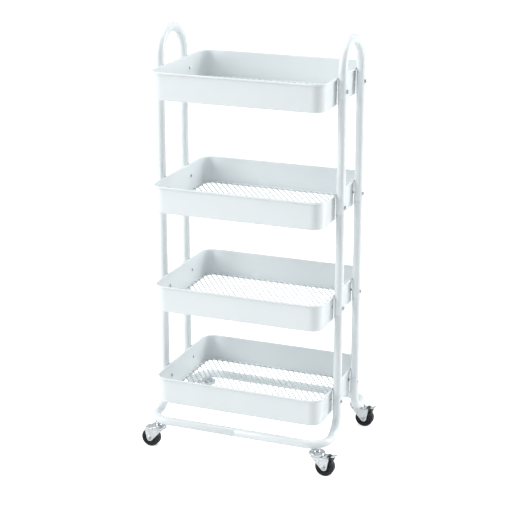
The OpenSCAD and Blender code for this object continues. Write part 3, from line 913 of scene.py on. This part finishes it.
def forkMesh(settings):
    # The fork is one bent sheet: cheek, bend, crown, bend, cheek. A pressed ring stands on the crown.
    t, bend, cheek = settings["sheet"], settings["bend"], settings["cheek"]
    top = forkHigh[2]
    half = settings["half"]
    backX, frontX = -0.7 * settings["crown"], pivotX + 0.004
    backZ, frontZ = top - t - 0.001, pivotZ - 0.003
    axle = Vector((trail, wheelZ))

    def tangentPoint(x, z, side):
        reach = axle - Vector((x, z))
        spread = math.asin(cheek / reach.length)
        length = math.sqrt(reach.length ** 2 - cheek ** 2)
        turned = math.atan2(reach.y, reach.x) + side * spread
        return Vector((x, z)) + Vector((math.cos(turned), math.sin(turned))) * length

    back, front = tangentPoint(backX, backZ, -1), tangentPoint(frontX, frontZ, 1)

    def span(z):
        under = math.sqrt(max(0.0, cheek ** 2 - (z - axle.y) ** 2)) if abs(z - axle.y) <= cheek else 0
        low = axle.x - under
        high = axle.x + under
        if z > back.y:
            low = back.x + (backX - back.x) * min(1, (z - back.y) / (backZ - back.y))
        if z > front.y:
            high = front.x + (frontX - front.x) * min(1, (z - front.y) / (frontZ - front.y))
        return low, high

    rows = []
    bottom = axle.y - cheek
    heights = [bottom + cheek * (1 - math.cos(math.radians(a))) for a in range(6, 90, 12)]
    heights += [axle.y + (top - bend - axle.y) * k / 8 for k in range(9)]
    for z in heights:
        rows.append((half, z, *span(z)))
    for a in range(15, 91, 15):
        y = half - bend + bend * math.cos(math.radians(a))
        z = top - bend + bend * math.sin(math.radians(a))
        rows.append((y, z, *span(min(z, top))))
    rows.append((settings["flat"], top, *span(top)))
    rows += [(-y, z, lo, hi) for y, z, lo, hi in rows[::-1]]
    across = 14
    points = [(lo + (hi - lo) * k / across, y, z) for y, z, lo, hi in rows for k in range(across + 1)]
    faces = []
    for r in range(len(rows) - 1):
        for k in range(across):
            a = r * (across + 1) + k
            faces.append((a, a + across + 1, a + across + 2, a + 1))
    bm = bmesh.new()
    bm.from_mesh(meshFromData("forkSheet", points, faces))
    bmesh.ops.recalc_face_normals(bm, faces=bm.faces)
    upward = sum(f.normal.z * f.calc_area() for f in bm.faces)
    if upward < 0:
        bmesh.ops.reverse_faces(bm, faces=bm.faces)
    sheet = solved(meshFromBmesh("forkSheet", bm), [
        ("SOLIDIFY", {"thickness": t, "offset": -1, "use_even_offset": True}),
        ("BEVEL", {"width": settings["edge"], "segments": 2, "limit_method": "ANGLE",
            "angle_limit": math.radians(60)})])
    r = settings["crown"]
    profile = [
        (0.0051, top - 0.0014), (r - 0.0004, top - 0.0014), (r, top - 0.001), (r, top - 0.0003),
        (r - 0.0003, top), (r - 0.002, top), (r - 0.0034, top - 0.0005), (r - 0.0056, top - 0.0005),
            (r - 0.007, top), (0.0051, top),
    ]
    return joinMeshes("casterFork", [sheet, latheMesh("crown", profile, 64)])


def tyreMesh(settings):
    # Tread with rounded shoulders and two fine mould lines, turned about Y
    w, r, s = wheelHalf, wheelR, settings["shoulder"]
    inner = (hubHigh[2] - hubLow[2]) / 2
    g, at = settings["groove"], settings["grooveAt"]
    profile = [(inner, -w + 0.0003), (inner + 0.0005, -w), (inner + 0.0016, -w),
        (inner + 0.0019, -w + 0.0004), (inner + 0.0023, -w)]
    profile += [(r - s + s * math.sin(math.radians(a)),
        -w + s - s * math.cos(math.radians(a))) for a in range(0, 91, 15)]
    profile += [(r, -at - g), (r - g, -at), (r, -at + g), (r, at - g), (r - g, at), (r, at + g)]
    profile += [(r - s + s * math.cos(math.radians(a)),
        w - s + s * math.sin(math.radians(a))) for a in range(0, 91, 15)]
    profile += [(inner + 0.0023, w), (inner + 0.0019, w - 0.0004), (inner + 0.0016, w),
        (inner + 0.0005, w), (inner, w - 0.0003)]
    mesh = latheMesh("casterTyre", profile, 96)
    mesh.transform(Matrix.Translation((trail, 0, wheelZ)) @ Matrix.Rotation(math.pi / 2, 4, "X"))
    return mesh


def hubMesh(settings):
    # Moulded centre: rim, web, ribs on both faces and a boss round the axle
    r, half = (hubHigh[2] - hubLow[2]) / 2, (hubHigh[1] - hubLow[1]) / 2
    w, boss, bore = wheelHalf, settings["boss"], settings["bore"]
    side = [(bore, half), (boss - 0.0004, half), (boss, half - 0.0004), (boss, w / 2 + 0.0006),
        (boss + 0.0008, w / 2)]
    side += [(r - 0.0034, w / 2), (r - 0.0026, w / 2 + 0.0008), (r - 0.002, w - 0.0013),
        (r - 0.0016, w - 0.001), (r - 0.0002, w - 0.001)]
    profile = side + [(x, -y) for x, y in side[::-1]]
    parts = [latheMesh("hubTurned", profile, 72)]
    bm = bmesh.new()
    for m in (-1, 1):
        for k in range(settings["ribs"]):
            reach = r - 0.0022 - boss
            place = Matrix.Rotation(2 * math.pi * k / settings["ribs"], 4, "Z") @ Matrix.Translation(
                (boss + reach / 2, 0, m * (w / 2 + 0.0012)))
            bmesh.ops.create_cube(bm, size=1, matrix=place @ Matrix.Diagonal((reach + 0.0008,
                settings["rib"], 0.0026, 1)))
    parts.append(solved(meshFromBmesh("ribs", bm), [("BEVEL", {"width": 0.0003, "segments": 2})]))
    mesh = joinMeshes("casterHub", parts)
    mesh.transform(Matrix.Translation((trail, 0, wheelZ)) @ Matrix.Rotation(math.pi / 2, 4, "X"))
    return mesh


def shoeMesh(settings):
    # The block that the lever presses on the tread, clear of the tyre released and pressed
    turn = math.radians(settings["press"])
    dx, dz = trail - pivotX, wheelZ - pivotZ
    pressed = (pivotX + dx * math.cos(turn) + dz * math.sin(-turn),
        pivotZ + dx * math.sin(turn) + dz * math.cos(turn))
    end, top = shoeHigh[0] - casterX, pivotZ + 0.001
    face = []
    for k in range(13):
        x = pivotX + 0.0012 + (end - pivotX - 0.0012) * k / 12
        heights = [cz + math.sqrt(max(0.0, radius ** 2 - (x - cx) ** 2)) for cx, cz, radius in (
            (trail, wheelZ, wheelR + 0.001), (*pressed, wheelR + 0.0003))]
        face.append((x, max(heights) + 0.0001))
    eye = settings["eye"]
    outline = [(x, z) for x, z in face]
    outline += [(end, pivotZ - 0.003), (end - 0.0012, pivotZ - 0.0006), (end - 0.004, top),
        (pivotX + 0.002, pivotZ + eye - 0.0006)]
    outline += arc(pivotX, pivotZ, eye, 70, 250, 10)
    width = (shoeHigh[1] - shoeLow[1]) - 0.0002
    return slabMesh("brakeShoe", outline, width, settings["edge"])


def tabMesh(settings):
    # The steel tab that a foot presses, rounded in plan
    turn = math.radians(settings["tilt"])
    under = (settings["below"] + settings["thick"] / 2) * math.sin(turn)
    reach = (leverHigh[0] - casterX - pivotX - under) / math.cos(turn) - 0.0002
    w, c = settings["width"] / 2, settings["corner"]
    plan = roundedLoop([(0.005, -w), (reach, -w), (reach, w), (0.005, w)], c, 6)
    mesh = slabMesh("brakeTab", plan, settings["thick"], settings["edge"])
    lay = Matrix.Translation((pivotX, 0, pivotZ)) @ Matrix.Rotation(-turn, 4, "Y")
    mesh.transform(lay @ Matrix.Translation((0, 0, -settings["below"])) @ Matrix.Rotation(math.pi / 2,
        4, "X"))
    return mesh


casterPieces = [
    ("caster_{}_cap", "swivel_cap_{}", capMesh(capSettings), zincPlate, "frame", "zinc"),
    ("caster_{}_fork", "swivel_fork_{}", forkMesh(forkSettings), zincPlate, "swivel_{}", "zinc"),
    ("caster_{}_tyre", "wheel_tyre_{}", tyreMesh(treadSettings), tyreRubber, "wheel_{}", "tyre"),
    ("caster_{}_hub", "wheel_centre_{}", hubMesh(hubSettings), hubPlastic, "wheel_{}", "hub_plastic"),
    ("brake_{}_shoe", "brake_block_{}", shoeMesh(shoeSettings), hubPlastic, "brake_{}", "hub_plastic"),
    ("brake_{}_lever", "brake_tab_{}", tabMesh(tabSettings), zincPlate, "brake_{}", "zinc"),
]
for node, name, mesh, material, body, slot in casterPieces:
    for corner, (sx, sy) in corners.items():
        if node.startswith("brake") and sx < 0:
            continue
        place = Matrix.Translation((sx * casterX, sy * casterY, 0)) @ Matrix.Diagonal((sx, 1, 1, 1))
        piece = pieceFromMesh(name.format(corner), movedMesh(mesh, place), material,
            body.format(corner), node.format(corner))
print("casters built")


# ---- Camera, light and floor ----

cameraSettings = {"aim": (0.004, -0.025, 0.465), "azimuth": 21.66, "fall": 17.93, "distance": 3.5,
    "lens": 104.4}


def placeCamera(settings):
    azimuth, fall = math.radians(settings["azimuth"]), math.radians(settings["fall"])
    back = Vector((math.sin(azimuth) * math.cos(fall), -math.cos(azimuth) * math.cos(fall), math.sin(fall)))
    data = bpy.data.cameras.new("camera")
    data.lens = settings["lens"]
    data.sensor_width = 36
    camera = bpy.data.objects.new("camera", data)
    camera.location = Vector(settings["aim"]) + back * settings["distance"]
    camera.rotation_euler = (-back).to_track_quat("-Z", "Y").to_euler()
    scene.collection.objects.link(camera)
    scene.camera = camera


lightSettings = [
    {"name": "leftBox", "at": (-2.45, -1.85, 2.05), "size": (1.4, 1.8), "power": 63},
    {"name": "rightBox", "at": (2.6, 1.2, 1.5), "size": (1.0, 1.8), "power": 48},
    {"name": "topBox", "at": (-0.2, -0.1, 3.2), "size": (2.0, 1.8), "power": 19},
]


def placeLights(settings):
    for lamp in settings:
        data = bpy.data.lights.new(lamp["name"], "AREA")
        data.shape = "RECTANGLE"
        data.size, data.size_y = lamp["size"]
        data.energy = lamp["power"]
        light = bpy.data.objects.new(lamp["name"], data)
        light.location = lamp["at"]
        light.rotation_euler = (Vector((0, 0, 0.45)) - light.location).to_track_quat("-Z", "Y").to_euler()
        scene.collection.objects.link(light)


def placeFloor():
    bm = bmesh.new()
    bmesh.ops.create_grid(bm, x_segments=1, y_segments=1, size=12)
    mesh = meshFromBmesh("floor", bm)
    material, tree, shader = newMaterial("pale_floor", {
        "Base Color": (0.93, 0.93, 0.93, 1), "Roughness": 0.8, "Emission Color": (1, 1, 1, 1)})
    rays = tree.nodes.new("ShaderNodeLightPath")
    tree.links.new(mathNode(tree, "MULTIPLY", rays.outputs["Is Camera Ray"], 0.6),
        shader.inputs["Emission Strength"])
    mesh.materials.append(material)
    floor = bpy.data.objects.new("floor", mesh)
    floor.location = (0, 0, cadBox[0][2])
    scene.collection.objects.link(floor)
    world = bpy.data.worlds.new("studio")
    world.use_nodes = True
    tree = world.node_tree
    surround = tree.nodes["Background"]
    surround.inputs["Color"].default_value = (0.965, 0.99, 1.0, 1)
    towards = tree.nodes.new("ShaderNodeTexCoord")
    facing = tree.nodes.new("ShaderNodeVectorMath")
    facing.operation = "DOT_PRODUCT"
    facing.inputs[1].default_value = (0.37, -0.93, 0.0)
    tree.links.new(towards.outputs["Generated"], facing.inputs[0])
    ahead = mapRange(tree, facing.outputs["Value"], 0.74, 0.20, 0.25, 0.95)
    tree.links.new(ahead, surround.inputs["Strength"])
    backdrop = tree.nodes.new("ShaderNodeBackground")
    backdrop.inputs["Color"].default_value = (1, 1, 1, 1)
    backdrop.inputs["Strength"].default_value = 1.05
    rays = tree.nodes.new("ShaderNodeLightPath")
    pick = tree.nodes.new("ShaderNodeMixShader")
    tree.links.new(rays.outputs["Is Camera Ray"], pick.inputs["Fac"])
    tree.links.new(surround.outputs["Background"], pick.inputs[1])
    tree.links.new(backdrop.outputs["Background"], pick.inputs[2])
    tree.links.new(pick.outputs["Shader"], tree.nodes["World Output"].inputs["Surface"])
    scene.world = world
    scene.view_settings.view_transform = "Standard"


placeCamera(cameraSettings)
placeLights(lightSettings)
placeFloor()
print("stage set")

# Carried-over pieces take their material by their slot
slotMaterials = {
    "frame_paint": framePaint, "mesh_paint": shadedMeshPaint, "zinc": zincPlate,
    "bright_rivet": rivetSteel, "hub_plastic": hubPlastic, "tyre": tyreRubber,
}
nodeSlots = {part["node"]: part["material_slot"] for part in frame["record"]["subparts"]}
for node, cadPiece in frame["nodes"].items():
    for holder in cadPiece.material_slots:
        holder.material = slotMaterials[nodeSlots[node]]
